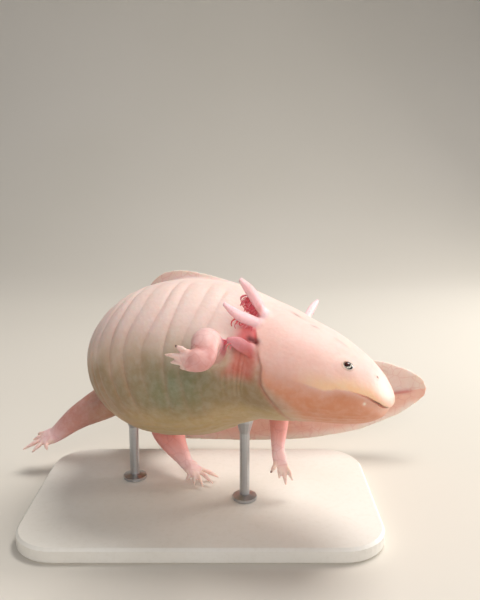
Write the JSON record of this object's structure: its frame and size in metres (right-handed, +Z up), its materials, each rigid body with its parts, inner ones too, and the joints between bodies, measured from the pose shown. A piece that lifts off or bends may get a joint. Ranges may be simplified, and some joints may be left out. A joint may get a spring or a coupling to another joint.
{
  "type": "axolotl",
  "caption": "Life-size still model of a plump pale pink axolotl with feathery gills and finned tail, swimming over a flat stand with short rods.",
  "frame": {"origin": "centre of the stand base's underside, on the surface it rests on", "axes": "+Z up; +X towards the animal's head; +Y away from its right side, towards the tail that curls round behind it"},
  "size_m": [0.1524, 0.0963, 0.0816],
  "materials": {
    "skin": "moist satin pale pink skin, cream on the back and greenish on the lower flank",
    "limb": "moist satin salmon pink skin with paler digits",
    "gill": "moist pink stalks with dark red filaments",
    "fin": "thin greyish pink fin membrane",
    "eye": "glossy dark red-brown pupil in a silvery ring",
    "stand_base": "satin off-white",
    "stand_rod": "fine brushed"
  },
  "bodies": {
    "root": {"head": "skin", "lower_jaw": "skin", "neck": "skin", "trunk_front": "skin", "trunk_rear": "skin", "pelvis": "skin", "tail_front": "skin", "tail_middle": "skin", "tail_end": "skin", "foreleg_left_upper": "limb", "foreleg_left_lower": "limb", "foreleg_left_hand": "limb", "foreleg_right_upper": "limb", "foreleg_right_lower": "limb", "foreleg_right_hand": "limb", "hindleg_left_upper": "limb", "hindleg_left_lower": "limb", "hindleg_left_foot": "limb", "hindleg_right_upper": "limb", "hindleg_right_lower": "limb", "hindleg_right_foot": "limb", "gill_left_top": "gill", "gill_left_middle": "gill", "gill_left_low": "gill", "gill_right_top": "gill", "gill_right_middle": "gill", "gill_right_low": "gill", "fin_trunk": "fin", "fin_rump": "fin", "fin_tail_upper_front": "fin", "fin_tail_upper_rear": "fin", "fin_tail_lower_front": "fin", "fin_tail_lower_rear": "fin", "eye_left": "eye", "eye_right": "eye", "stand_base": "stand_base", "stand_rod_front": "stand_rod", "stand_rod_rear": "stand_rod"}
  },
  "joints": []
}
